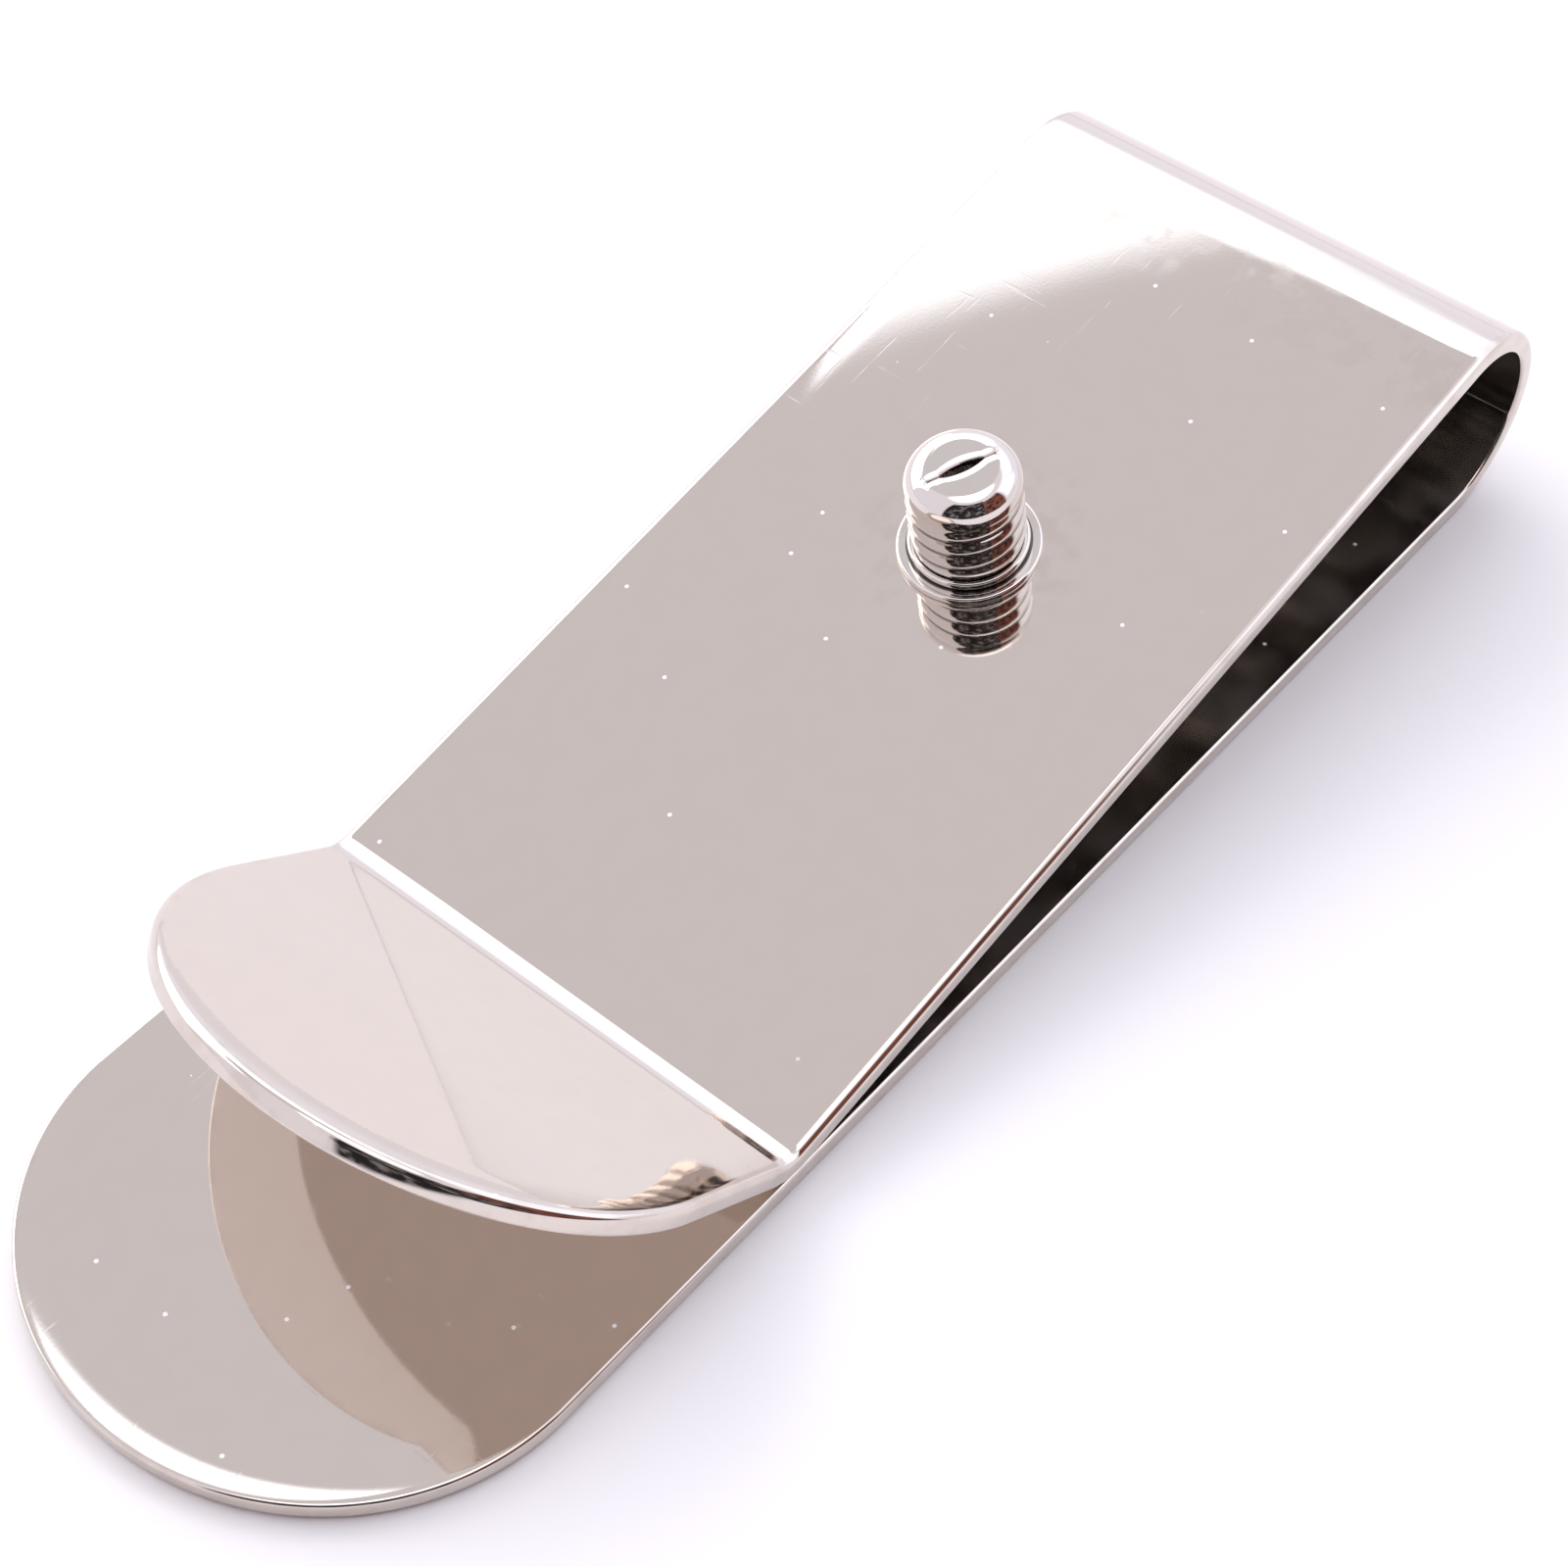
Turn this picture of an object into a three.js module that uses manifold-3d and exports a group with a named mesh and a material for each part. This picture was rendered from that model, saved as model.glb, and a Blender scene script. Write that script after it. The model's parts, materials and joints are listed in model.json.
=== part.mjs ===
// Spring money clip with a slotted screw post for an interchangeable ornament.
// Millimetres, +Z up. The back leaf lies flat on Z = 0, +X runs from the open end to the spring bend,
// and the origin is the middle of the clip's footprint.
import * as THREE from 'three';
import { mergeVertices } from 'three/addons/utils/BufferGeometryUtils.js';
import Module from 'manifold-3d';

const wasm = await Module();
wasm.setup();
const radians = THREE.MathUtils.degToRad;

// ---------------------------------------------------------------- driving dimensions
// Spring strip: one bent strip, divided into zones at its bends.
const CLIP_LENGTH = 63.5;           // 2 1/2 in over the back leaf's round end and the spring bend
const STRIP_WIDTH = 20.3;
const STRIP_THICKNESS = 0.81;       // 20 gauge sheet
const EDGE_RADIUS = 0.24;           // tumbled and polished edges
const SEAM_GAP = 0.06;              // clearance where one zone of the strip meets the next

const BEND_RADIUS = 4.22;           // outside of the spring bend
const LEAF_SLOPE = radians(10);     // front leaf, down from the bend to the pinch line
const PINCH_GAP = 0.05;             // under the lowest line of the crease, where the leaves pinch
const BACK_END_DEPTH = 9.4;         // depth of the back leaf's round end

const CREASE_RADIUS = 1.46;         // inside of the crease, on the upper side
const LIP_TURN = radians(45.6);     // the thumb lip turns up this far from the front leaf
const LIP_STRAIGHT = 6.2;           // from the start of the crease, along the strip
const LIP_END_DEPTH = 9.29;         // depth of the thumb lip's round end

// Screw post: 8-32 thread, with its crests and roots rounded over by the plating.
const POST_FROM_PINCH = 21.64;      // along the front leaf
const POST_HEIGHT = 4.58;           // above the front leaf
const THREAD_RADIUS = 2.08;
const THREAD_PITCH = 0.794;
const THREAD_DEPTH = 0.16;
const THREAD_START = 0.95;          // above the front leaf, over a plain neck
const SHOULDER_RADIUS = 0.75;       // rounded end
const SHANK_RADIUS = 1.82;          // plain, inside the bush
const SLOT_WIDTH = 0.75;
const SLOT_DEPTH = 0.6;             // in the middle: a disc cutter leaves it curved
const SLOT_CUTTER_RADIUS = 2.2;
const SLOT_TURN = radians(-26);     // from the strip's length, about the post

// Bush: flange on the leaf, raised hub round the post, and a barrel through the leaf.
const FLANGE_RADIUS = 2.6;
const FLANGE_HEIGHT = 0.3;
const HUB_RADIUS = 2.18;
const HUB_HEIGHT = 0.62;
const BARREL_RADIUS = 2.35;
const BORE_RADIUS = 1.9;
const BUSH_EDGE = 0.08;
const FIT_GAP = 0.08;               // between the barrel and its hole, and half of it under the flange

const EDGE_STEPS = 3;               // facets on each rounded edge
const ROUND_END_STEPS = 28;         // facets from a straight side to the tip
const CREASE_STEPS = 6;
const BEND_STEPS = 12;              // facets on each half of the spring bend
const POST_SIDES = 48;
const THREAD_ROWS = 8;              // rows of facets in one pitch
const SHOULDER_ROWS = 6;

// ---------------------------------------------------------------- worked-out places
const HALF_WIDTH = STRIP_WIDTH / 2;
const BEND_X = CLIP_LENGTH / 2 - BEND_RADIUS;
const INNER_RADIUS = BEND_RADIUS - STRIP_THICKNESS;
const SHOULDER_START = POST_HEIGHT - SHOULDER_RADIUS;

// The front leaf's underside, in the XZ plane: it runs from the bend down to the pinch line.
const leafDirection = new THREE.Vector2(Math.cos(LEAF_SLOPE), Math.sin(LEAF_SLOPE));
const leafNormal = new THREE.Vector2(-Math.sin(LEAF_SLOPE), Math.cos(LEAF_SLOPE));
const leafEnd = new THREE.Vector2(BEND_X, BEND_RADIUS).addScaledVector(leafNormal, INNER_RADIUS);
const creaseDrop = (CREASE_RADIUS + STRIP_THICKNESS) * (1 - leafNormal.y);
const LEAF_LENGTH = (leafEnd.y - STRIP_THICKNESS - PINCH_GAP - creaseDrop) / leafDirection.y;
const pinch = leafEnd.clone().addScaledVector(leafDirection, -LEAF_LENGTH);

// ---------------------------------------------------------------- geometry helpers
function solidFromTriangles(points, triangles) {
  const geometry = new THREE.BufferGeometry();
  geometry.setAttribute('position', new THREE.Float32BufferAttribute(points.flat(), 3));
  geometry.setIndex(triangles.flat());
  return geometry;
}

function toManifold(geometry) {
  const bare = geometry.clone();
  bare.deleteAttribute('normal');
  bare.deleteAttribute('uv');
  const merged = mergeVertices(bare, 1e-4);
  return new wasm.Manifold(new wasm.Mesh({
    numProp: 3,
    vertProperties: new Float32Array(merged.attributes.position.array),
    triVerts: new Uint32Array(merged.index.array),
  }));
}

function fromManifold(solid) {
  const mesh = solid.getMesh();
  const geometry = new THREE.BufferGeometry();
  geometry.setAttribute('position', new THREE.BufferAttribute(new Float32Array(mesh.vertProperties), 3));
  geometry.setIndex(new THREE.BufferAttribute(new Uint32Array(mesh.triVerts), 1));
  return geometry;
}

function evenSteps(from, to, count) {
  return Array.from({ length: count + 1 }, (_, i) => from + (to - from) * (i / count));
}

// ---------------------------------------------------------------- one zone of the strip
// The strip's rounded edge: inset from the outline, and height in the thickness, from the inner face up.
function edgeProfile() {
  const lower = evenSteps(0, Math.PI / 2, EDGE_STEPS).map((angle) => [
    EDGE_RADIUS * (1 - Math.sin(angle)),
    EDGE_RADIUS * (1 - Math.cos(angle)),
  ]);
  const upper = lower.map(([inset, height]) => [inset, STRIP_THICKNESS - height]);
  return lower.concat(upper.reverse());
}

// Stations along one side: distance along the strip, half width, and the outline's outward direction.
// With an end depth, the zone runs out in a half-ellipse tip after its last cut.
function sideStations(cuts, endDepth) {
  const stations = cuts.map((along) => ({ along, half: HALF_WIDTH, outward: new THREE.Vector2(0, 1) }));
  if (endDepth) {
    for (const angle of evenSteps(0, Math.PI / 2, ROUND_END_STEPS).slice(1)) {
      const outward = new THREE.Vector2(Math.sin(angle) / endDepth, Math.cos(angle) / HALF_WIDTH);
      stations.push({
        along: cuts[cuts.length - 1] + endDepth * Math.sin(angle),
        half: HALF_WIDTH * Math.cos(angle),
        outward: outward.normalize(),
      });
    }
  }
  return stations;
}

// place(along, height) gives X and Z, so that the same flat blank lies flat or follows a bend.
function stripZone(cuts, endDepth, place) {
  const stations = sideStations(cuts, endDepth);
  const rings = edgeProfile();
  const points = [];
  for (const side of [-1, 1]) {
    for (const [inset, height] of rings) {
      for (const { along, half, outward } of stations) {
        const [x, z] = place(along - inset * outward.x, height);
        points.push([x, side * Math.max(half - inset * outward.y, 0), z]);
      }
    }
  }
  const at = (side, ring, station) => (side * rings.length + ring) * stations.length + station;
  const triangles = [];
  const quad = (a, b, c, d) => triangles.push([a, b, c], [a, c, d]);
  const lastRing = rings.length - 1;
  const lastStation = stations.length - 1;
  for (let i = 0; i < lastStation; i += 1) {
    for (let k = 0; k < lastRing; k += 1) {
      quad(at(0, k, i), at(0, k + 1, i), at(0, k + 1, i + 1), at(0, k, i + 1));
      quad(at(1, k, i), at(1, k, i + 1), at(1, k + 1, i + 1), at(1, k + 1, i));
    }
    quad(at(0, 0, i), at(0, 0, i + 1), at(1, 0, i + 1), at(1, 0, i));
    quad(at(0, lastRing, i), at(1, lastRing, i), at(1, lastRing, i + 1), at(0, lastRing, i + 1));
  }
  for (let k = 0; k < lastRing; k += 1) {
    quad(at(0, k, 0), at(1, k, 0), at(1, k + 1, 0), at(0, k + 1, 0));
    if (!endDepth) {
      quad(at(0, k, lastStation), at(0, k + 1, lastStation), at(1, k + 1, lastStation), at(1, k, lastStation));
    }
  }
  return toManifold(solidFromTriangles(points, triangles));
}

// ---------------------------------------------------------------- the strip's zones
function backLeaf() {
  const roundEndStart = BEND_X + CLIP_LENGTH / 2 - BACK_END_DEPTH;
  return stripZone([SEAM_GAP / 2, roundEndStart], BACK_END_DEPTH, (along, height) => [BEND_X - along, height]);
}

// Part of the spring bend between two angles about its centre, from the back leaf's side up and round.
function springBend(fromAngle, toAngle) {
  const gap = SEAM_GAP / 2 / BEND_RADIUS;
  return stripZone(evenSteps(fromAngle + gap, toAngle - gap, BEND_STEPS), 0, (angle, height) => {
    const radius = INNER_RADIUS + height;
    return [BEND_X + radius * Math.cos(angle), BEND_RADIUS + radius * Math.sin(angle)];
  });
}

// Along from the bend towards the pinch, and height above the front leaf's underside.
function frontLeafPoint(along, height) {
  const point = leafEnd.clone().addScaledVector(leafDirection, -along).addScaledVector(leafNormal, height);
  return [point.x, point.y];
}

function frontLeaf() {
  const leaf = stripZone([SEAM_GAP / 2, LEAF_LENGTH - SEAM_GAP / 2], 0, frontLeafPoint);
  const holeRadius = BARREL_RADIUS + FIT_GAP;
  const hole = new THREE.CylinderGeometry(holeRadius, holeRadius, 4 * STRIP_THICKNESS, POST_SIDES);
  hole.rotateX(Math.PI / 2);
  hole.applyMatrix4(postPlace);
  return leaf.subtract(toManifold(hole));
}

// The crease turns about a line above the pinch, and the lip runs on straight from it.
function thumbLipPoint(along, height) {
  const middleRadius = CREASE_RADIUS + STRIP_THICKNESS / 2;
  const angle = THREE.MathUtils.clamp(along / middleRadius, 0, LIP_TURN);
  const outward = leafNormal.clone().multiplyScalar(-Math.cos(angle))
    .addScaledVector(leafDirection, -Math.sin(angle));
  const heading = leafDirection.clone().multiplyScalar(-Math.cos(angle))
    .addScaledVector(leafNormal, Math.sin(angle));
  const point = pinch.clone().addScaledVector(leafNormal, CREASE_RADIUS + STRIP_THICKNESS)
    .addScaledVector(outward, CREASE_RADIUS + STRIP_THICKNESS - height)
    .addScaledVector(heading, along - angle * middleRadius);
  return [point.x, point.y];
}

function thumbLip() {
  const creaseLength = (CREASE_RADIUS + STRIP_THICKNESS / 2) * LIP_TURN;
  const cuts = evenSteps(SEAM_GAP / 2, creaseLength, CREASE_STEPS).concat([LIP_STRAIGHT]);
  return stripZone(cuts, LIP_END_DEPTH, thumbLipPoint);
}

// ---------------------------------------------------------------- the bush and the post
// Both are made upright about the Z axis, with Z = 0 on the front leaf's upper face.
function postBush() {
  const outline = [
    [BORE_RADIUS, -STRIP_THICKNESS],
    [BARREL_RADIUS, -STRIP_THICKNESS],
    [BARREL_RADIUS, FIT_GAP / 2],
    [FLANGE_RADIUS, FIT_GAP / 2],
    [FLANGE_RADIUS, FLANGE_HEIGHT - BUSH_EDGE],
    [FLANGE_RADIUS - BUSH_EDGE, FLANGE_HEIGHT],
    [HUB_RADIUS, FLANGE_HEIGHT],
    [HUB_RADIUS, HUB_HEIGHT - BUSH_EDGE],
    [HUB_RADIUS - BUSH_EDGE, HUB_HEIGHT],
    [BORE_RADIUS, HUB_HEIGHT],
    [BORE_RADIUS, -STRIP_THICKNESS],
  ];
  const geometry = new THREE.LatheGeometry(outline.map(([x, y]) => new THREE.Vector2(x, y)), POST_SIDES);
  geometry.rotateX(Math.PI / 2);
  return toManifold(geometry);
}

// The post's radius: a right-hand thread that runs in from the neck and out at the rounded end.
function postRadius(height, angle) {
  if (height < THREAD_START) {
    return SHANK_RADIUS;
  }
  const halfPitch = THREAD_PITCH / 2;
  const runIn = THREE.MathUtils.smoothstep(height, THREAD_START, THREAD_START + halfPitch);
  const runOut = 1 - THREE.MathUtils.smoothstep(height, SHOULDER_START - halfPitch, SHOULDER_START);
  const turns = height / THREAD_PITCH - angle / (2 * Math.PI);
  const groove = THREAD_DEPTH * (0.5 - 0.5 * Math.cos(2 * Math.PI * turns));
  const overShoulder = Math.max(height - SHOULDER_START, 0);
  const shoulder = SHOULDER_RADIUS - Math.sqrt(Math.max(SHOULDER_RADIUS ** 2 - overShoulder ** 2, 0));
  return THREE.MathUtils.lerp(SHANK_RADIUS, THREAD_RADIUS, runIn) - groove * runIn * runOut - shoulder;
}

function postBlank() {
  const threadRows = Math.round((SHOULDER_START - THREAD_START) / THREAD_PITCH * THREAD_ROWS);
  const shoulder = evenSteps(0, Math.PI / 2, SHOULDER_ROWS).slice(1);
  const heights = [-STRIP_THICKNESS]
    .concat(evenSteps(THREAD_START, SHOULDER_START, threadRows))
    .concat(shoulder.map((angle) => SHOULDER_START + SHOULDER_RADIUS * Math.sin(angle)));
  const points = heights.flatMap((height) => evenSteps(0, 2 * Math.PI, POST_SIDES).slice(1).map((angle) => {
    const radius = postRadius(height, angle);
    return [radius * Math.cos(angle), radius * Math.sin(angle), height];
  }));
  const bottomCentre = points.push([0, 0, -STRIP_THICKNESS]) - 1;
  const topCentre = points.push([0, 0, POST_HEIGHT]) - 1;
  const at = (row, side) => row * POST_SIDES + (side % POST_SIDES);
  const topRow = heights.length - 1;
  const triangles = [];
  for (let i = 0; i < POST_SIDES; i += 1) {
    for (let row = 0; row < topRow; row += 1) {
      triangles.push([at(row, i), at(row, i + 1), at(row + 1, i + 1)]);
      triangles.push([at(row, i), at(row + 1, i + 1), at(row + 1, i)]);
    }
    triangles.push([bottomCentre, at(0, i + 1), at(0, i)]);
    triangles.push([topCentre, at(topRow, i), at(topRow, i + 1)]);
  }
  return toManifold(solidFromTriangles(points, triangles));
}

function slottedPost() {
  const cutter = new THREE.CylinderGeometry(SLOT_CUTTER_RADIUS, SLOT_CUTTER_RADIUS, SLOT_WIDTH, POST_SIDES);
  cutter.rotateZ(SLOT_TURN);
  cutter.translate(0, 0, POST_HEIGHT - SLOT_DEPTH + SLOT_CUTTER_RADIUS);
  return postBlank().subtract(toManifold(cutter));
}

// ---------------------------------------------------------------- assembly
// The post stands square on the front leaf's upper face.
const [postX, postZ] = frontLeafPoint(LEAF_LENGTH - POST_FROM_PINCH, STRIP_THICKNESS);
const postPlace = new THREE.Matrix4().makeRotationY(-LEAF_SLOPE).setPosition(postX, 0, postZ);
const postFrame = new THREE.Group();
postFrame.applyMatrix4(postPlace);

const nickelPlate = { color: 0xd8d4d2, metalness: 1, roughness: 0.06 };
const brightPlate = { color: 0xe0dfe0, metalness: 1, roughness: 0.04 };

function addPiece(parent, name, solid, plating) {
  const geometry = fromManifold(solid);
  geometry.computeVertexNormals();
  const mesh = new THREE.Mesh(geometry, new THREE.MeshStandardMaterial(plating));
  mesh.name = name;
  parent.add(mesh);
}

const group = new THREE.Group();
addPiece(group, 'back_leaf', backLeaf(), nickelPlate);
addPiece(group, 'spring_bend_lower', springBend(-Math.PI / 2, 0), nickelPlate);
addPiece(group, 'spring_bend_upper', springBend(0, Math.PI / 2 + LEAF_SLOPE), nickelPlate);
addPiece(group, 'front_leaf', frontLeaf(), nickelPlate);
addPiece(group, 'thumb_lip', thumbLip(), nickelPlate);
addPiece(postFrame, 'post_bush', postBush(), brightPlate);
addPiece(postFrame, 'slotted_post', slottedPost(), brightPlate);
group.add(postFrame);

export default group;
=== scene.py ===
# Looks of the spring money clip: plated strip, bush and slotted screw post, built round the CAD frame.
import json
import math

import bmesh
import bpy
from mathutils import Matrix, Vector


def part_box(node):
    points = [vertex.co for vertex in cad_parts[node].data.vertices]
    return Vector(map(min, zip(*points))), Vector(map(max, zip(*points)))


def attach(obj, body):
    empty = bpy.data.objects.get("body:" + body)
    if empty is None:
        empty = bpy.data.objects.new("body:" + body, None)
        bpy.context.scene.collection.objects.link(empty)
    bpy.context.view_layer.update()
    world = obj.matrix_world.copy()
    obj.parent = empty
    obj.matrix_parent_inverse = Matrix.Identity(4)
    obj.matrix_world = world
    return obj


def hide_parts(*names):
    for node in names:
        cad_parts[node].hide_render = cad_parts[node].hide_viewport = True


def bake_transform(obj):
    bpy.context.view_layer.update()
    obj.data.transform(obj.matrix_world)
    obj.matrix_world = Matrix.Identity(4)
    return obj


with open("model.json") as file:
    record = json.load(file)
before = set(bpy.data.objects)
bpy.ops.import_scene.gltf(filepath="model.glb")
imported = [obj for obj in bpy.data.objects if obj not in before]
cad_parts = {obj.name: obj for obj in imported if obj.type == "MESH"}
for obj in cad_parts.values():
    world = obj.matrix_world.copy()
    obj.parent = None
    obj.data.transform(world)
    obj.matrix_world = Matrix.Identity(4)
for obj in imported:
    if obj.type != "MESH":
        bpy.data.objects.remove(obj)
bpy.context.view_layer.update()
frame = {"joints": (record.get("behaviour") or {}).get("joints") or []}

# Shapes and places are worked out in millimetres and turned into metres as they are made.
MM = 0.001

# ---------------------------------------------------------------- sizes taken from the frame


def box_mm(node):
    low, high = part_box(node)
    return low / MM, high / MM


def joint(name):
    return next(j for j in frame["joints"] if j["name"] == name)


POST_AXIS = Vector(joint("post_turns")["axis"]).normalized()
POST_ORIGIN = Vector(joint("post_turns")["pos_m"]) / MM

leaf_box = box_mm("back_leaf")
bend_box = box_mm("spring_bend_lower")
HALF_WIDTH = leaf_box[1].y
THICKNESS = leaf_box[1].z
TIP_X = leaf_box[0].x
BEND_RADIUS = (bend_box[1].z + box_mm("spring_bend_upper")[0].z) / 2
BEND_X = bend_box[1].x - BEND_RADIUS
INNER_RADIUS = BEND_RADIUS - THICKNESS
LEAF_SLOPE = math.atan2(-POST_AXIS.x, POST_AXIS.z)
SEAM_GAP = 0.06

# ---------------------------------------------------------------- sizes a box can't tell
OUTER_EDGE = 0.27      # rounding along the outer face's edges, which are buffed
INNER_EDGE = 0.13      # rounding along the inner face's edges
DUB_WIDTH = 1.3        # buffing rounds the faces off very slightly this far in from the edge
DUB_SLOPE = 0.09       # where the face meets the edge, at the round ends
SIDE_DUB = 0.25        # share of it left along the straight sides
RIM_WIDTH = 1.5        # the back leaf's round end has a faintly raised rim on its upper face
RIM_SLOPE = 0.12
BACK_END_DEPTH = 9.4   # depth of the back leaf's round end
LIP_END_DEPTH = 9.29   # depth of the thumb lip's round end
CREASE_RADIUS = 1.46   # inside of the crease, on the upper side
LIP_TURN = math.radians(45.6)
LIP_STRAIGHT = 6.2     # from the start of the crease to the lip's round end
SEAM_IN_FLAT = 0.5     # the bend's piece reaches this far into each leaf

HOLE_RADIUS = 2.43
FLANGE_RADIUS = 2.6
FLANGE_HEIGHT = 0.3
FLANGE_SEAT = 0.02     # the flange's underside stands this far off the leaf
HUB_RADIUS = 2.18
HUB_HEIGHT = 0.62
HUB_GROOVE = 0.07      # turned round the foot of the hub, this wide and deep
BARREL_RADIUS = 2.35
BORE_RADIUS = 1.9
BUSH_EDGE = 0.09       # rounding of the flange's and the hub's outer edges

POST_HEIGHT = 4.58
THREAD_RADIUS = 2.08
THREAD_PITCH = 0.794
THREAD_DEPTH = 0.11
THREAD_START = 0.8
THREAD_VALLEY = 0.05   # how far the thread's valleys are opened out
THREAD_SHADE = (0.24, 0.4)   # crest shares between which the painted shade in the valleys fades out
SHANK_RADIUS = 1.82    # inside the bush
NECK_RADIUS = 1.99     # between the bush and the thread
NECK_GAP = 0.08        # the undercut between the hub and the neck's foot
NECK_EDGE = 0.03       # chamfer round the neck's foot
SHOULDER_RADIUS = 0.92
SLOT_WIDTH = 0.32      # between the foot of one rolled-over lip and the other
SLOT_DEPTH = 0.6
SLOT_CUTTER_RADIUS = 2.2
SLOT_TURN = math.radians(-26)
SLOT_LIP = 0.34        # the slot's edges are rolled over this wide
LIP_ROUNDING = 0.6     # radius of the rolled edges
SLOT_OPENING = 0.85    # the rolled lips close up this far from the middle
SLOT_DRAFT = 0.008     # the slot's walls lean this much

# ---------------------------------------------------------------- the strip's path
BEND_ANGLE = math.pi + LEAF_SLOPE
BEND_LENGTH = (INNER_RADIUS + THICKNESS / 2) * BEND_ANGLE
BACK_LENGTH = BEND_X - TIP_X
LEAF_DIRECTION = Vector((math.cos(LEAF_SLOPE), math.sin(LEAF_SLOPE)))
LEAF_NORMAL = Vector((-math.sin(LEAF_SLOPE), math.cos(LEAF_SLOPE)))
LEAF_END = Vector((BEND_X, BEND_RADIUS)) + LEAF_NORMAL * INNER_RADIUS
PINCH_Z = box_mm("front_leaf")[0].z - SEAM_GAP / 2 * LEAF_DIRECTION.y
LEAF_LENGTH = (LEAF_END.y - PINCH_Z) / LEAF_DIRECTION.y
PINCH = LEAF_END - LEAF_DIRECTION * LEAF_LENGTH
CREASE_MIDDLE = CREASE_RADIUS + THICKNESS / 2
CREASE_START = BEND_LENGTH + LEAF_LENGTH
CREASE_LENGTH = CREASE_MIDDLE * LIP_TURN


def strip_point(along, depth):
    """X and Z on the bent strip: along it from where the bend starts, and out from the loop's inner face."""
    if along < 0:
        return Vector((BEND_X + along, THICKNESS - depth))
    if along < BEND_LENGTH:
        angle = along / BEND_LENGTH * BEND_ANGLE
        outward = Vector((math.sin(angle), -math.cos(angle)))
        return Vector((BEND_X, BEND_RADIUS)) + outward * (INNER_RADIUS + depth)
    if along < CREASE_START:
        return LEAF_END - LEAF_DIRECTION * (along - BEND_LENGTH) + LEAF_NORMAL * depth
    past = along - CREASE_START
    angle = min(past / CREASE_MIDDLE, LIP_TURN)
    centre = PINCH + LEAF_NORMAL * (CREASE_RADIUS + THICKNESS)
    outward = -LEAF_NORMAL * math.cos(angle) - LEAF_DIRECTION * math.sin(angle)
    heading = -LEAF_DIRECTION * math.cos(angle) + LEAF_NORMAL * math.sin(angle)
    reach = CREASE_RADIUS + THICKNESS - depth
    return centre + outward * reach + heading * (past - angle * CREASE_MIDDLE)


# ---------------------------------------------------------------- mesh helpers
SHARP_ANGLE = math.radians(40)


def new_piece(name, points, faces, place=Matrix.Identity(4), **marks):
    """A smooth-shaded closed mesh from points in millimetres, with its hard edges marked sharp.

    Each mark is a point attribute that the materials read, with one value for every point.
    """
    mesh = bpy.data.meshes.new(name)
    mesh.from_pydata([place @ (Vector(p) * MM) for p in points], [], faces)
    for mark, values in marks.items():
        mesh.attributes.new(mark, "FLOAT", "POINT").data.foreach_set("value", values)
    work = bmesh.new()
    work.from_mesh(mesh)
    bmesh.ops.remove_doubles(work, verts=work.verts, dist=2e-7)
    bmesh.ops.recalc_face_normals(work, faces=work.faces)
    finish_mesh(work, mesh)
    piece = bpy.data.objects.new(name, mesh)
    bpy.context.scene.collection.objects.link(piece)
    return piece


def finish_mesh(work, mesh):
    for face in work.faces:
        face.smooth = True
    for edge in work.edges:
        edge.smooth = len(edge.link_faces) == 2 and edge.calc_face_angle() < SHARP_ANGLE
    work.to_mesh(mesh)
    work.free()
    mesh.update()


def even_steps(start, end, count):
    return [start + (end - start) * i / count for i in range(count + 1)]


def smooth_share(value, start, end):
    share = min(max((value - start) / (end - start), 0), 1)
    return share * share * (3 - 2 * share)


def grid_faces(rows, columns, closed=False):
    """Quads over a grid of points kept row by row; closed joins the last column to the first."""
    faces = []
    for row in range(rows - 1):
        for column in range(columns if closed else columns - 1):
            after = (column + 1) % columns
            faces.append((row * columns + column, row * columns + after,
                          (row + 1) * columns + after, (row + 1) * columns + column))
    return faces


# ---------------------------------------------------------------- the strip
FILLET_STEPS = 8
DUB_STEPS = 8
FACE_COLUMNS = 12
ROUND_END_STEPS = 96
FLAT_STEP = 1.5
CURVE_STEP = math.radians(2.5)


def fall(inset, width, slope):
    """How far a face has curved away at this distance in from the edge."""
    return slope * width / 2 * max(1 - inset / width, 0) ** 2


def edge_profile():
    """(inset, depth) from the inner face, round the edge, to the outer face, before any dubbing."""
    halves = []
    for edge in (INNER_EDGE, OUTER_EDGE):
        half = [(inset, 0) for inset in even_steps(RIM_WIDTH, edge, DUB_STEPS)[:-1]]
        for angle in even_steps(0, math.pi / 2, FILLET_STEPS):
            half.append((edge * (1 - math.sin(angle)), edge * (1 - math.cos(angle))))
        halves.append(half)
    inner, outer = halves
    return inner + [(inset, THICKNESS - depth) for inset, depth in reversed(outer)]


def section(profile):
    """One closed loop round the strip: side, inset, depth and share of the face's width."""
    loop = [(1, inset, depth, 1) for inset, depth in profile]
    shares = even_steps(1, -1, FACE_COLUMNS)[1:-1]
    face_inset = profile[0][0]
    loop += [(1, face_inset, profile[-1][1], share) for share in shares]
    loop += [(-1, inset, depth, 1) for inset, depth in reversed(profile)]
    loop += [(-1, face_inset, profile[0][1], share) for share in shares]
    return loop


def stations(start, end):
    """Distances along the strip, close together where it curves."""
    marks = [start]
    for low, high, step in (
        (-BACK_LENGTH, 0, FLAT_STEP),
        (0, BEND_LENGTH, CURVE_STEP * BEND_RADIUS),
        (BEND_LENGTH, CREASE_START, FLAT_STEP),
        (CREASE_START, CREASE_START + CREASE_LENGTH, CURVE_STEP * CREASE_MIDDLE),
        (CREASE_START + CREASE_LENGTH, math.inf, FLAT_STEP / 3),
    ):
        low, high = max(low, start), min(high, end)
        if high > low:
            marks += even_steps(low, high, math.ceil((high - low) / step))[1:]
    return marks


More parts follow.
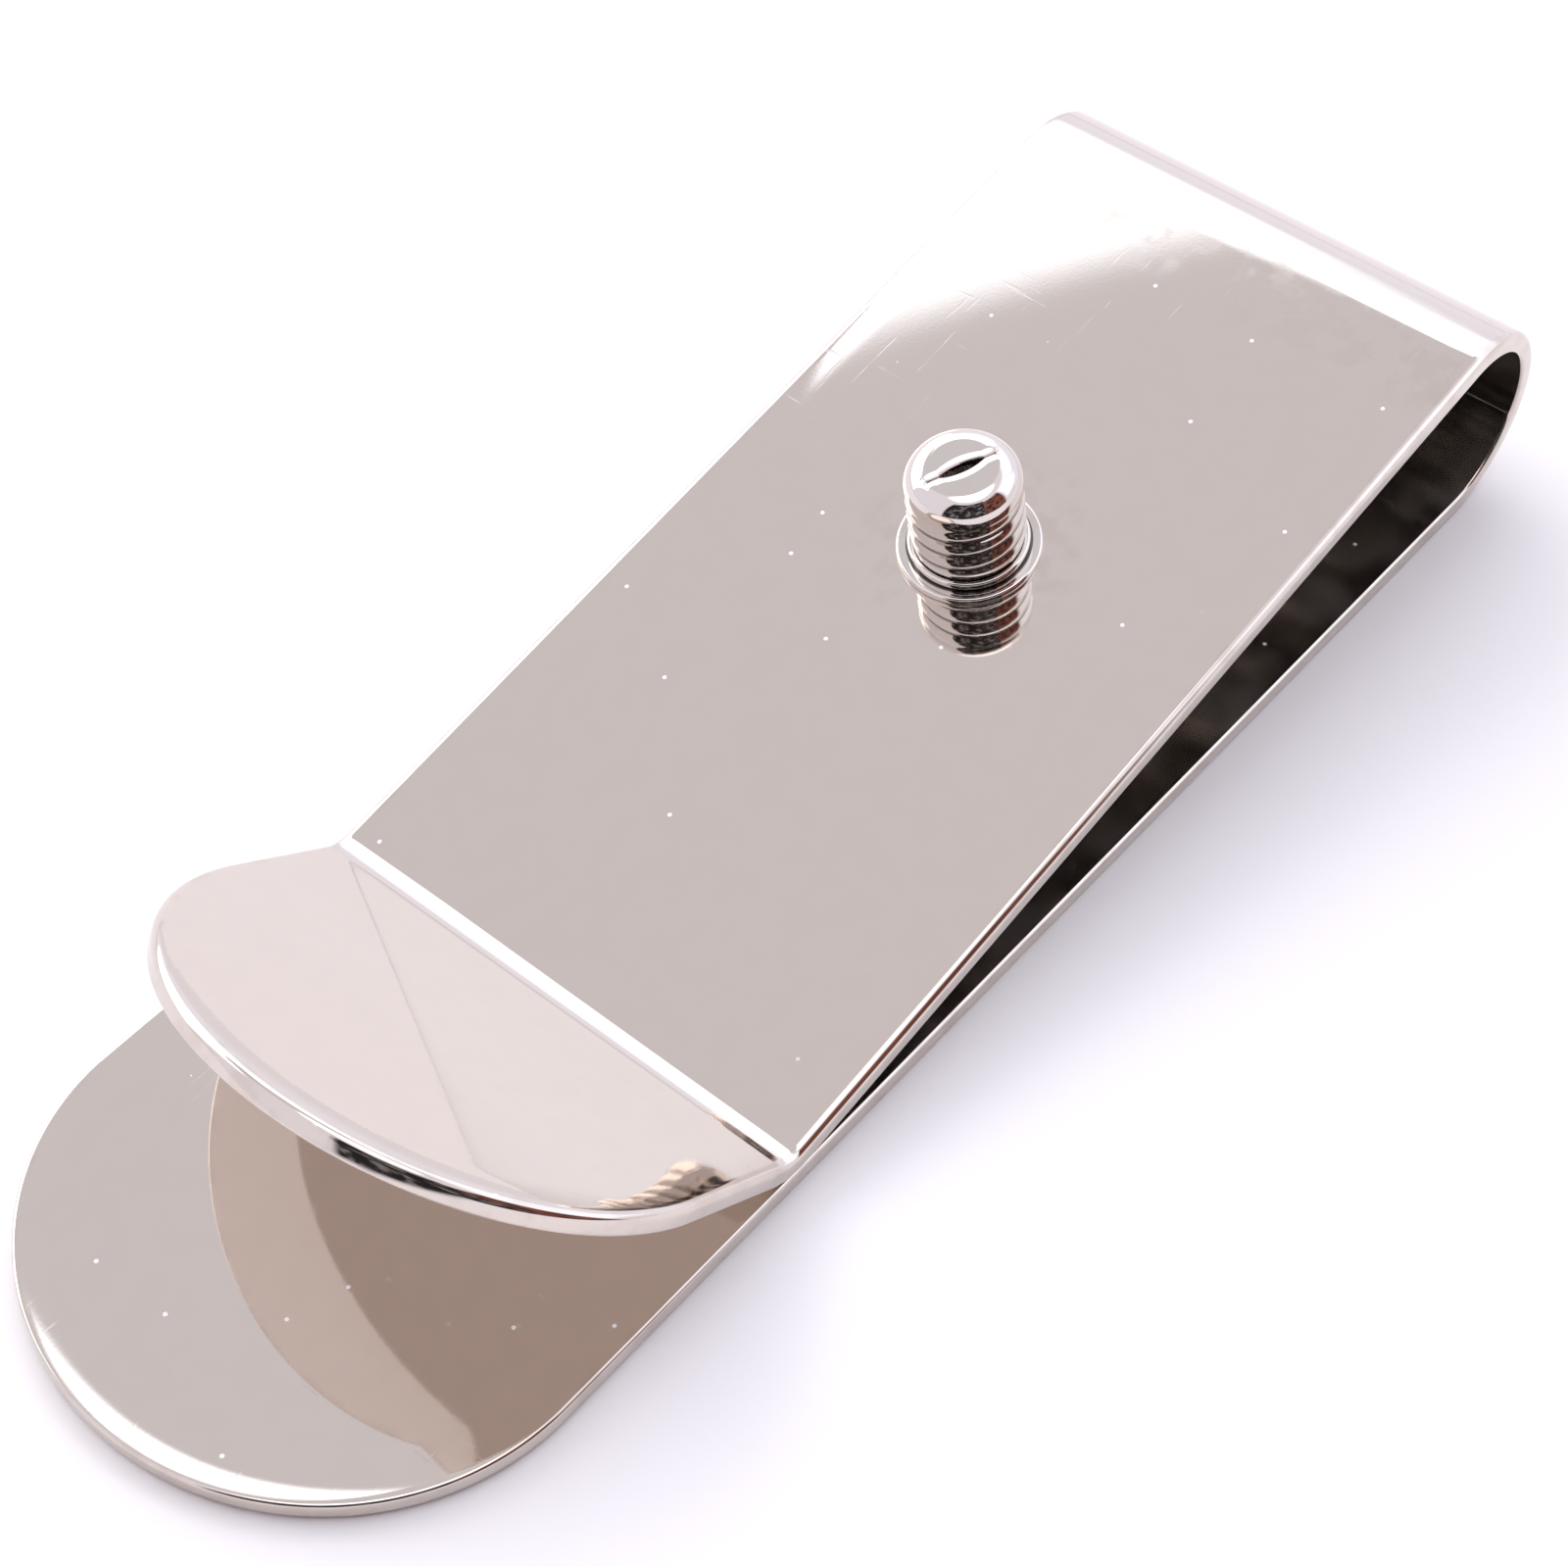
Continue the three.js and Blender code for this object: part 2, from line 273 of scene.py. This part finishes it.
def outline(start, end, end_depth=0, heading=1):
    """(along, half width, outward direction) at each station; heading says which end is round."""
    rows = [(along, HALF_WIDTH, 0, 1) for along in stations(start, end)]
    if not end_depth:
        return rows
    tip_start = end if heading > 0 else start
    tip = []
    for angle in even_steps(0, math.pi / 2, ROUND_END_STEPS)[1:]:
        outward = Vector((math.sin(angle) / end_depth, math.cos(angle) / HALF_WIDTH)).normalized()
        tip.append((tip_start + heading * end_depth * math.sin(angle), HALF_WIDTH * math.cos(angle),
                    heading * outward.x, outward.y))
    return rows + tip if heading > 0 else tip[::-1] + rows


def inside_loop(along, depth):
    """1 on the inner face between the leaves, where polishing doesn't reach, fading out at the pinch."""
    if depth > THICKNESS / 4:
        return 0.0
    pinch_back = PINCH.x - BEND_X
    from_pinch = min(along - pinch_back, CREASE_START - along)
    return smooth_share(from_pinch, -1.0, 6.0)


def strip_piece(name, rows):
    """A closed length of the strip through the given outline rows."""
    loop = section(edge_profile())
    points = []
    inside = []
    for along, half, outward_x, outward_y in rows:
        dubbed = SIDE_DUB + (1 - SIDE_DUB) * abs(outward_x)
        for side, inset, depth, share in loop:
            inside.append(inside_loop(along, depth))
            taken = fall(inset, DUB_WIDTH, DUB_SLOPE) * dubbed
            if depth > THICKNESS / 2:
                depth -= taken
            elif outward_x < 0:
                depth += fall(inset, RIM_WIDTH, RIM_SLOPE) * outward_x
            x, z = strip_point(along - inset * outward_x, depth)
            points.append((x, side * share * (half - inset * outward_y), z))
    count = len(loop)
    faces = grid_faces(len(rows), count, closed=True)
    for row in (0, len(rows) - 1):
        if rows[row][1] > 1e-6:
            faces += cap_faces(row * count, count)
    return new_piece(name, points, faces, inside_loop=inside)


def cap_faces(first, count):
    """The cut end of the strip: both edges, and quads from one face across to the other."""
    profile_count = len(edge_profile())
    upper = [profile_count - 1 + i for i in range(FACE_COLUMNS + 1)]
    lower = [(count - i) % count for i in range(FACE_COLUMNS + 1)]
    faces = [list(range(profile_count)), [upper[-1] + i for i in range(profile_count)]]
    for i in range(FACE_COLUMNS):
        faces.append([upper[i], upper[i + 1], lower[i + 1], lower[i]])
    return [tuple(first + i for i in face) for face in faces]


def cut_hole(piece):
    """The bush's hole through the front leaf."""
    sides = 96
    ring = [(HOLE_RADIUS * math.cos(a), HOLE_RADIUS * math.sin(a))
            for a in even_steps(0, 2 * math.pi, sides)[:-1]]
    points = [(x, y, z) for z in (-2 * THICKNESS, THICKNESS) for x, y in ring]
    faces = grid_faces(2, sides, closed=True)
    faces += [tuple(range(sides)), tuple(range(sides, 2 * sides))]
    cutter = new_piece("hole_cutter", points, faces, post_place())
    modifier = piece.modifiers.new("bush_hole", "BOOLEAN")
    modifier.operation = "DIFFERENCE"
    modifier.solver = "EXACT"
    modifier.object = cutter
    bpy.context.view_layer.update()
    cut = bpy.data.meshes.new_from_object(piece.evaluated_get(bpy.context.evaluated_depsgraph_get()))
    piece.modifiers.clear()
    bpy.data.objects.remove(cutter)
    work = bmesh.new()
    work.from_mesh(cut)
    finish_mesh(work, cut)
    piece.data = cut


# ---------------------------------------------------------------- the bush and the post
ROUND_SIDES = 128
DECK_COLUMNS = 96
DECK_SLOT_ROWS = 14
DECK_LIP_ROWS = 14
DECK_FAR_ROWS = 30
THREAD_ROWS = 110


def post_place():
    """From upright about Z, with Z = 0 on the leaf's upper face, to its place on the front leaf."""
    return Matrix.Translation(POST_ORIGIN * MM) @ Matrix.Rotation(-LEAF_SLOPE, 4, "Y")


def rounded(corner, before, after, radius, steps=5):
    """An arc in place of a corner of a lathe profile."""
    corner, before, after = Vector(corner), Vector(before), Vector(after)
    start = corner + (before - corner).normalized() * radius
    end = corner + (after - corner).normalized() * radius
    centre = start + end - corner
    arc = []
    for share in even_steps(0, math.pi / 2, steps):
        arc.append(centre + (start - centre) * math.cos(share) + (end - centre) * math.sin(share))
    return arc


def make_bush():
    """Flange on the leaf, a hub round the post, and a barrel through the leaf.

    Its profile is a list of corners: radius, height and rounding.
    """
    groove_radius = HUB_RADIUS + HUB_GROOVE
    groove_floor = FLANGE_HEIGHT - HUB_GROOVE
    corners = [
        (BORE_RADIUS, -THICKNESS, 0.04),
        (BARREL_RADIUS, -THICKNESS, 0.06),
        (BARREL_RADIUS, FLANGE_SEAT, 0),
        (FLANGE_RADIUS, FLANGE_SEAT, 0.05),
        (FLANGE_RADIUS, FLANGE_HEIGHT, BUSH_EDGE),
        (groove_radius, FLANGE_HEIGHT, 0.015),
        (groove_radius, groove_floor, 0),
        (HUB_RADIUS, groove_floor, 0),
        (HUB_RADIUS, HUB_HEIGHT, BUSH_EDGE),
        (BORE_RADIUS, HUB_HEIGHT, 0.06),
    ]
    profile = []
    recess_shaded = []
    for i, (radius, height, rounding) in enumerate(corners):
        if rounding:
            before = corners[i - 1][:2]
            after = corners[(i + 1) % len(corners)][:2]
            profile += rounded((radius, height), before, after, rounding)
        else:
            profile.append(Vector((radius, height)))
        # The groove's floor is marked for painted shade.
        recess_shaded += [float(height == groove_floor)] * (len(profile) - len(recess_shaded))
    points = []
    for angle in even_steps(0, 2 * math.pi, ROUND_SIDES)[:-1]:
        points += [(p.x * math.cos(angle), p.x * math.sin(angle), p.y) for p in profile]
    count = len(profile)
    faces = grid_faces(ROUND_SIDES, count, closed=True)
    last = (ROUND_SIDES - 1) * count
    faces += [(last + k, last + (k + 1) % count, (k + 1) % count, k) for k in range(count)]
    return new_piece("bush", points, faces, post_place(), grime=recess_shaded * ROUND_SIDES)


SHOULDER_START = POST_HEIGHT - SHOULDER_RADIUS
TOP_FLAT = THREAD_RADIUS - SHOULDER_RADIUS
DECK_EDGE = math.radians(60)   # a deck of quads covers the slotted end, this far down the shoulder
DECK_RADIUS = TOP_FLAT + SHOULDER_RADIUS * math.sin(DECK_EDGE)


def thread(height, angle):
    """Radius and painted shade of the thread: rounded crests, with narrow valleys darkened by painted shade.

    The thread runs in from the neck and out at the shoulder.
    """
    run_in = smooth_share(height, THREAD_START, THREAD_START + THREAD_PITCH / 2)
    run_out = 1 - smooth_share(height, SHOULDER_START - THREAD_PITCH / 2, SHOULDER_START)
    turns = height / THREAD_PITCH - angle / (2 * math.pi)
    crest = math.sqrt(math.sin(math.pi * turns) ** 2 + THREAD_VALLEY)
    groove = THREAD_DEPTH * (1 - min(crest, 1))
    radius = NECK_RADIUS + (THREAD_RADIUS - NECK_RADIUS) * run_in - groove * run_in * run_out
    return radius, (1 - smooth_share(crest, *THREAD_SHADE)) * run_in * run_out


def end_height(u, v):
    """Height of the post's end: flat, rounded shoulder, and the slot that a disc cutter left."""
    past = max(math.hypot(u, v) - TOP_FLAT, 0)
    top = SHOULDER_START + math.sqrt(SHOULDER_RADIUS ** 2 - past ** 2)
    opening = SLOT_WIDTH / 2 * max(1 - (u / SLOT_OPENING) ** 2, 0)
    rolled = opening + SLOT_LIP - abs(v)
    if rolled < 0:
        return top
    bottom = POST_HEIGHT - SLOT_DEPTH + SLOT_CUTTER_RADIUS
    bottom -= math.sqrt(SLOT_CUTTER_RADIUS ** 2 - u ** 2)
    lip = top - LIP_ROUNDING + math.sqrt(LIP_ROUNDING ** 2 - rolled ** 2)
    if abs(v) < opening:
        return min(top, bottom)
    return min(top, max(lip, bottom))


def deck_angles():
    """Angles from the slot's length to the rows of the deck, close together at the slot's walls."""
    wall = SLOT_WIDTH / 2
    lip = [wall + SLOT_LIP * (1 - math.cos(a)) for a in even_steps(0, math.pi / 2, DECK_LIP_ROWS)]
    inside = even_steps(0, wall - SLOT_DRAFT, DECK_SLOT_ROWS)
    near = [math.asin(v / DECK_RADIUS) for v in inside + lip]
    far = even_steps(near[-1], math.pi / 2, DECK_FAR_ROWS)[1:]
    half = near + far
    return [-a for a in half[:0:-1]] + half


def make_post():
    """Screw post with a plain neck, a rolled-over thread and a slotted, rounded end."""
    rows = deck_angles()
    points = []
    for angle in rows:
        reach = DECK_RADIUS * math.cos(angle)
        v = DECK_RADIUS * math.sin(angle)
        for share in even_steps(-1, 1, DECK_COLUMNS):
            u = reach * share
            points.append((u, v, end_height(u, v)))
    slot_floor = POST_HEIGHT - SLOT_DEPTH / 2
    # Painted shade on the slot's floor, and below on the shank and in the thread's valleys.
    grime = [float(z < slot_floor and math.hypot(u, v) < SLOT_OPENING) for u, v, z in points]
    faces = grid_faces(len(rows), DECK_COLUMNS + 1)
    around = rows + [math.pi - a for a in rows[-2:0:-1]]
    count = len(around)
    first = len(points)
    # Rings of points down from the deck: radius and height, with no radius where the thread gives it.
    levels = [(DECK_RADIUS, end_height(DECK_RADIUS, 0))]
    for angle in even_steps(DECK_EDGE, math.pi / 2, 5)[1:-1]:
        levels.append((TOP_FLAT + SHOULDER_RADIUS * math.sin(angle),
                       SHOULDER_START + SHOULDER_RADIUS * math.cos(angle)))
    levels += [(None, height) for height in even_steps(SHOULDER_START, THREAD_START, THREAD_ROWS)]
    foot = HUB_HEIGHT + NECK_GAP
    levels += [(NECK_RADIUS, foot + 0.04), (NECK_RADIUS - NECK_EDGE, foot + 0.01), (SHANK_RADIUS, foot)]
    levels += [(SHANK_RADIUS, -THICKNESS + 0.06), (SHANK_RADIUS - 0.02, -THICKNESS + 0.02)]
    levels += [(SHANK_RADIUS - 0.06, -THICKNESS)]
    for radius, height in levels:
        for angle in around:
            # painted shade: in the thread's valleys, and all round the shank inside the bush
            if radius is None:
                r, dark = thread(height, angle + SLOT_TURN)
            else:
                r, dark = radius, float(radius <= SHANK_RADIUS)
            points.append((r * math.cos(angle), r * math.sin(angle), height))
            grime.append(dark)
    faces += [tuple(first + i for i in face) for face in grid_faces(len(levels), count, closed=True)]
    faces.append(tuple(first + (len(levels) - 1) * count + i for i in range(count)))
    place = post_place() @ Matrix.Rotation(SLOT_TURN, 4, "Z")
    return new_piece("screw_post", points, faces, place, grime=grime)


# ---------------------------------------------------------------- materials
class Nodes:
    """Short calls for building a node tree."""

    def __init__(self, tree):
        self.tree = tree

    def add(self, kind, settings=None, **inputs):
        node = self.tree.nodes.new(kind)
        for name, value in (settings or {}).items():
            setattr(node, name, value)
        for name, value in inputs.items():
            self.feed(node, name.replace("_", " "), value)
        return node

    def feed(self, node, name, value):
        socket = node.inputs[int(name)] if name.isdigit() else node.inputs[name]
        if isinstance(value, bpy.types.NodeSocket):
            self.tree.links.new(value, socket)
        else:
            socket.default_value = value

    def math(self, operation, *values, clamp=False):
        node = self.tree.nodes.new("ShaderNodeMath")
        node.operation = operation
        node.use_clamp = clamp
        for place, value in enumerate(values):
            self.feed(node, str(place), value)
        return node.outputs[0]

    def step(self, value, low, high):
        """0 below low, 1 above high, smooth between."""
        node = self.tree.nodes.new("ShaderNodeMapRange")
        node.interpolation_type = "SMOOTHSTEP"
        self.feed(node, "Value", value)
        self.feed(node, "From Min", low)
        self.feed(node, "From Max", high)
        return node.outputs[0]

    def mix(self, share, a, b):
        node = self.tree.nodes.new("ShaderNodeMix")
        node.data_type = "RGBA"
        self.feed(node, "0", share)
        self.feed(node, "6", a)
        self.feed(node, "7", b)
        return node.outputs[2]


def noise(n, place, scale, detail):
    return n.add("ShaderNodeTexNoise", Vector=place, Scale=scale, Detail=detail).outputs[0]


def hairlines(n, place, stretch, turn, low, high):
    """Long fine scratches: noise that is stretched one way and turned about Z."""
    stretched = n.add("ShaderNodeMapping", Vector=place, Scale=stretch, Rotation=(0.0, 0.0, turn))
    return n.step(noise(n, stretched.outputs[0], 1.0, 3.0), low, high)


def dust_specks(n, place, dust_free):
    """White specks on level faces; dust_free is the share of the 2 mm cells that have none."""
    facing = n.add("ShaderNodeSeparateXYZ", Vector=n.add("ShaderNodeNewGeometry").outputs["Normal"])
    level = n.step(n.math("ABSOLUTE", facing.outputs[2]), 0.85, 0.95)
    cells = n.add("ShaderNodeTexVoronoi", {"voronoi_dimensions": "2D"}, Vector=place, Scale=470.0)
    chosen = n.add("ShaderNodeSeparateColor", Color=cells.outputs["Color"])
    rare = n.math("MULTIPLY", level, n.step(chosen.outputs[0], dust_free, dust_free + 0.01))
    return n.math("MULTIPLY", rare, n.math("SUBTRACT", 1.0, n.step(cells.outputs["Distance"], 0.02, 0.045)))


def plating_pits(n, place):
    cells = n.add("ShaderNodeTexVoronoi", Vector=place, Scale=1500.0)
    chosen = n.add("ShaderNodeSeparateColor", Color=cells.outputs["Color"])
    depth = n.math("SUBTRACT", 1.0, n.step(cells.outputs["Distance"], 0.03, 0.09))
    return n.math("MULTIPLY", n.step(chosen.outputs[1], 0.94, 0.96), depth)


def mark(n, name):
    """A point attribute that the mesh carries, and 0 where it has none."""
    return n.add("ShaderNodeAttribute", {"attribute_name": name}).outputs["Fac"]


def plated_metal(name, colour, worn_colour, roughness, dust_free):
    """Bright plating over a buffed strip: faint waves, hairline scratches, pits and a few dust specks.

    It is dull and blotchy where the mesh is marked inside_loop, and darkened with painted shade in the
    recesses that the mesh marks.
    """
    material = bpy.data.materials.new(name)
    material.use_nodes = True
    n = Nodes(material.node_tree)
    shader = material.node_tree.nodes["Principled BSDF"]
    place = n.add("ShaderNodeTexCoord").outputs["Object"]

    tint = noise(n, place, 900.0, 4.0)
    scratch = n.math("MAXIMUM", hairlines(n, place, (260.0, 5200.0, 900.0), 0.5, 0.66, 0.74),
                     hairlines(n, place, (4300.0, 300.0, 900.0), -0.35, 0.68, 0.76))
    dust = dust_specks(n, place, dust_free)
    worn = n.math("MULTIPLY", mark(n, "edge_wear"), n.step(tint, 0.45, 0.65))
    inside = mark(n, "inside_loop")

    base = n.mix(n.step(tint, 0.3, 0.75), colour, [c * 0.985 for c in colour[:3]] + [1.0])
    base = n.mix(n.math("MULTIPLY", worn, 0.6), base, worn_colour)
    base = n.mix(dust, base, (0.95, 0.95, 0.95, 1.0))
    # Painted shade: the marked recesses are taken nearly to black.
    base = n.mix(n.math("MULTIPLY", mark(n, "grime"), 0.8), base, (0.06, 0.05, 0.045, 1.0))
    n.feed(shader, "Base Color", base)

    blotch = n.step(noise(n, place, 420.0, 1.0), 0.4, 0.7)
    dull = n.math("MULTIPLY", inside, n.math("MULTIPLY_ADD", blotch, 0.07, 0.006))
    metallic = n.math("SUBTRACT", n.math("SUBTRACT", 1.0, dust), dull, clamp=True)
    n.feed(shader, "Metallic", metallic)

    rough = n.math("MULTIPLY_ADD", tint, 0.02, roughness - 0.01)
    for share, amount in ((scratch, 0.04), (worn, 0.06), (inside, 0.05)):
        rough = n.math("ADD", rough, n.math("MULTIPLY", share, amount))
    rough = n.math("ADD", rough, n.math("MULTIPLY", dust, 0.6), clamp=True)
    n.feed(shader, "Roughness", rough)

    waves = n.add("ShaderNodeBump", Height=noise(n, place, 110.0, 0.0), Distance=5e-6, Strength=1.0)
    grain = noise(n, place, 9000.0, 3.0)
    fine = n.math("SUBTRACT", n.math("MULTIPLY", grain, 0.25), n.math("MULTIPLY", scratch, 0.35))
    fine = n.math("SUBTRACT", fine, plating_pits(n, place))
    fine = n.math("ADD", fine, dust)
    detail = n.add("ShaderNodeBump", Height=fine, Distance=6e-7, Strength=1.0, Normal=waves.outputs[0])
    n.feed(shader, "Normal", detail.outputs[0])
    return material


def floor_material():
    """Matt white sweep with a hardly visible paper tooth."""
    material = bpy.data.materials.new("white_sweep")
    material.use_nodes = True
    n = Nodes(material.node_tree)
    shader = material.node_tree.nodes["Principled BSDF"]
    place = n.add("ShaderNodeTexCoord").outputs["Object"]
    tooth = noise(n, place, 1400.0, 5.0)
    broad = noise(n, place, 18.0, 2.0)
    n.feed(shader, "Base Color", n.mix(broad, (0.95, 0.93, 0.935, 1.0), (0.93, 0.91, 0.915, 1.0)))
    n.feed(shader, "Roughness", 0.9)
    n.feed(shader, "Specular IOR Level", 0.1)
    bump = n.add("ShaderNodeBump", Height=tooth, Distance=1.5e-5, Strength=0.5)
    n.feed(shader, "Normal", bump.outputs[0])
    return material


# ---------------------------------------------------------------- studio
BASE = (1.04, 1.01, 1.11, 1.0)
OVERHEAD = (2.25, 2.2, 2.32, 1.0)
WALL = (1.53, 1.61, 1.83, 1.0)
BRIGHT_WALL = (1.85, 1.95, 2.15, 1.0)
SKIRTING = (1.16, 1.16, 1.31, 1.0)
WINDOW = (3.2, 3.15, 3.2, 1.0)
CEILING = (0.84, 0.82, 0.875, 1.0)
CAMERA_SIDE = (0.03, 0.027, 0.029, 1.0)
CAMERA_SHEEN = (0.24, 0.23, 0.24, 1.0)
RED_BROWN = (0.30, 0.11, 0.085, 1.0)


def studio_world():
    """The room round the clip, painted by azimuth and elevation in degrees.

    Pale walls with a darker skirting, a window, a bright overhead and a grey-beige ceiling round it, and the
    dark side that the camera stands on, with something red-brown beside it.
    """
    world = bpy.data.worlds.new("studio")
    world.use_nodes = True
    bpy.context.scene.world = world
    tree = world.node_tree
    n = Nodes(tree)
    toward = n.add("ShaderNodeTexCoord").outputs["Generated"]
    parts = n.add("ShaderNodeSeparateXYZ", Vector=toward)
    elevation = n.math("MULTIPLY", n.math("ARCSINE", parts.outputs[2]), 180 / math.pi)
    clutter = noise(n, toward, 7.0, 3.0)
    camera_side = n.mix(n.step(clutter, 0.5, 0.62), CAMERA_SIDE, CAMERA_SHEEN)
    red_brown = n.mix(n.step(clutter, 0.4, 0.62), RED_BROWN, CAMERA_SIDE)

    def share_of(azimuth, width, low, high, edge):
        turn = math.radians(azimuth)
        ahead = n.math("ADD", n.math("MULTIPLY", parts.outputs[0], math.cos(turn)),
                       n.math("MULTIPLY", parts.outputs[1], math.sin(turn)))
        beside = n.math("SUBTRACT", n.math("MULTIPLY", parts.outputs[1], math.cos(turn)),
                        n.math("MULTIPLY", parts.outputs[0], math.sin(turn)))
        off = n.math("ABSOLUTE", n.math("MULTIPLY", n.math("ARCTAN2", beside, ahead), 180 / math.pi))
        within = n.math("SUBTRACT", 1.0, n.step(off, width - edge, width + edge))
        above = n.step(elevation, low - edge, low + edge)
        below = n.math("SUBTRACT", 1.0, n.step(elevation, high - edge, high + edge))
        return n.math("MULTIPLY", within, n.math("MULTIPLY", above, below))

    light = n.mix(n.step(elevation, 71.0, 75.0), BASE, OVERHEAD)
    for colour, *patch in (
        # colour, middle azimuth, half width, lowest and highest elevation, softness of the edge
        (SKIRTING, 18.0, 40.0, 3.0, 20.0, 2.0),
        (WALL, 18.0, 40.0, 20.0, 60.0, 3.0),
        (SKIRTING, -8.0, 29.0, 3.0, 28.0, 3.0),
        (BRIGHT_WALL, 40.0, 18.0, 36.0, 60.0, 4.0),
        (WALL, -42.0, 20.0, 15.0, 60.0, 5.0),
        (WINDOW, 82.0, 34.0, 8.0, 52.0, 1.6),
        (CEILING, 40.0, 18.0, 56.0, 73.0, 0.5),
        (CEILING, 78.0, 20.5, 48.9, 73.0, 0.4),
        (camera_side, -143.0, 37.0, 2.0, 62.0, 2.0),
        (red_brown, -87.0, 21.0, 2.0, 58.0, 3.0),
    ):
        light = n.mix(share_of(*patch), light, colour)
    background = tree.nodes["Background"]
    n.feed(background, "Color", light)
    n.feed(background, "Strength", 1.0)


FLOOR_REACH = 1500.0
FLOOR_DROP = 0.01


def make_floor():
    """One broad square just under the clip; its tooth is in its material."""
    corners = [(-1, -1), (1, -1), (1, 1), (-1, 1)]
    points = [Vector((x * FLOOR_REACH, y * FLOOR_REACH, -FLOOR_DROP)) * MM for x, y in corners]
    mesh = bpy.data.meshes.new("floor")
    mesh.from_pydata(points, [], [(0, 1, 2, 3)])
    floor = bpy.data.objects.new("floor", mesh)
    floor.data.materials.append(floor_material())
    bpy.context.scene.collection.objects.link(floor)


CAMERA_PLACE = Vector((-52.21, -43.72, 83.75))
CAMERA_TARGET = Vector((1.10, 0.93, 0.0))
FOCAL_LENGTH = 70.66


def make_camera():
    """Three-quarter view from the open end, to one side and above."""
    lens = bpy.data.cameras.new("camera")
    lens.sensor_width = 36.0
    lens.lens = FOCAL_LENGTH
    lens.clip_start = 0.005
    lens.clip_end = 10.0
    camera = bpy.data.objects.new("camera", lens)
    camera.location = CAMERA_PLACE * MM
    camera.rotation_mode = "QUATERNION"
    camera.rotation_quaternion = (CAMERA_TARGET - CAMERA_PLACE).to_track_quat("-Z", "Y")
    bpy.context.scene.collection.objects.link(camera)
    bpy.context.scene.camera = camera


# ---------------------------------------------------------------- assembly
NO_WEAR = math.radians(3)
FULL_WEAR = math.radians(8)


def mark_wear(piece):
    """Point attribute: 1 where the surface turns fast, on the edges that handling wears."""
    mesh = piece.data
    wear = mesh.attributes.new("edge_wear", "FLOAT", "POINT")
    sharpest = [0.0] * len(mesh.vertices)
    for edge in mesh.edges:
        a, b = edge.vertices
        turn = mesh.vertices[a].normal.angle(mesh.vertices[b].normal, 0.0)
        sharpest[a] = max(sharpest[a], turn)
        sharpest[b] = max(sharpest[b], turn)
    for vertex, turn in zip(wear.data, sharpest):
        vertex.value = smooth_share(turn, NO_WEAR, FULL_WEAR)


strip_metal = plated_metal("strip_plating", (0.685, 0.62, 0.565, 1.0), (0.60, 0.53, 0.47, 1.0), 0.035, 0.87)
bush_metal = plated_metal("bush_plating", (0.72, 0.67, 0.63, 1.0), (0.62, 0.57, 0.52, 1.0), 0.03, 0.98)
post_metal = plated_metal("post_plating", (0.70, 0.645, 0.605, 1.0), (0.60, 0.55, 0.50, 1.0), 0.03, 0.98)

back_tip_start = -(BACK_LENGTH - BACK_END_DEPTH)
bend_from = -SEAM_IN_FLAT
bend_to = BEND_LENGTH + SEAM_IN_FLAT
back = strip_piece("back_leaf_strip", outline(back_tip_start, bend_from, BACK_END_DEPTH, -1))
bend = strip_piece("spring_bend_strip", outline(bend_from, bend_to))
front = strip_piece("front_leaf_strip", outline(bend_to, CREASE_START + LIP_STRAIGHT, LIP_END_DEPTH, 1))
cut_hole(front)
bush = make_bush()
post = make_post()

for piece, metal, slot in (
    (back, strip_metal, "strip_plating"),
    (bend, strip_metal, "strip_plating"),
    (front, strip_metal, "strip_plating"),
    (bush, bush_metal, "bush_plating"),
    (post, post_metal, "post_plating"),
):
    mark_wear(piece)
    piece.data.materials.clear()
    piece.data.materials.append(metal)

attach(back, "back")
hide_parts("back_leaf")
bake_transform(bend)
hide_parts("spring_bend_lower", "spring_bend_upper")
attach(front, "front")
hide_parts("front_leaf", "thumb_lip")
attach(bush, "front")
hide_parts("post_bush")
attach(post, "post")
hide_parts("slotted_post")

make_floor()
studio_world()
make_camera()
bpy.context.scene.view_settings.view_transform = "Standard"
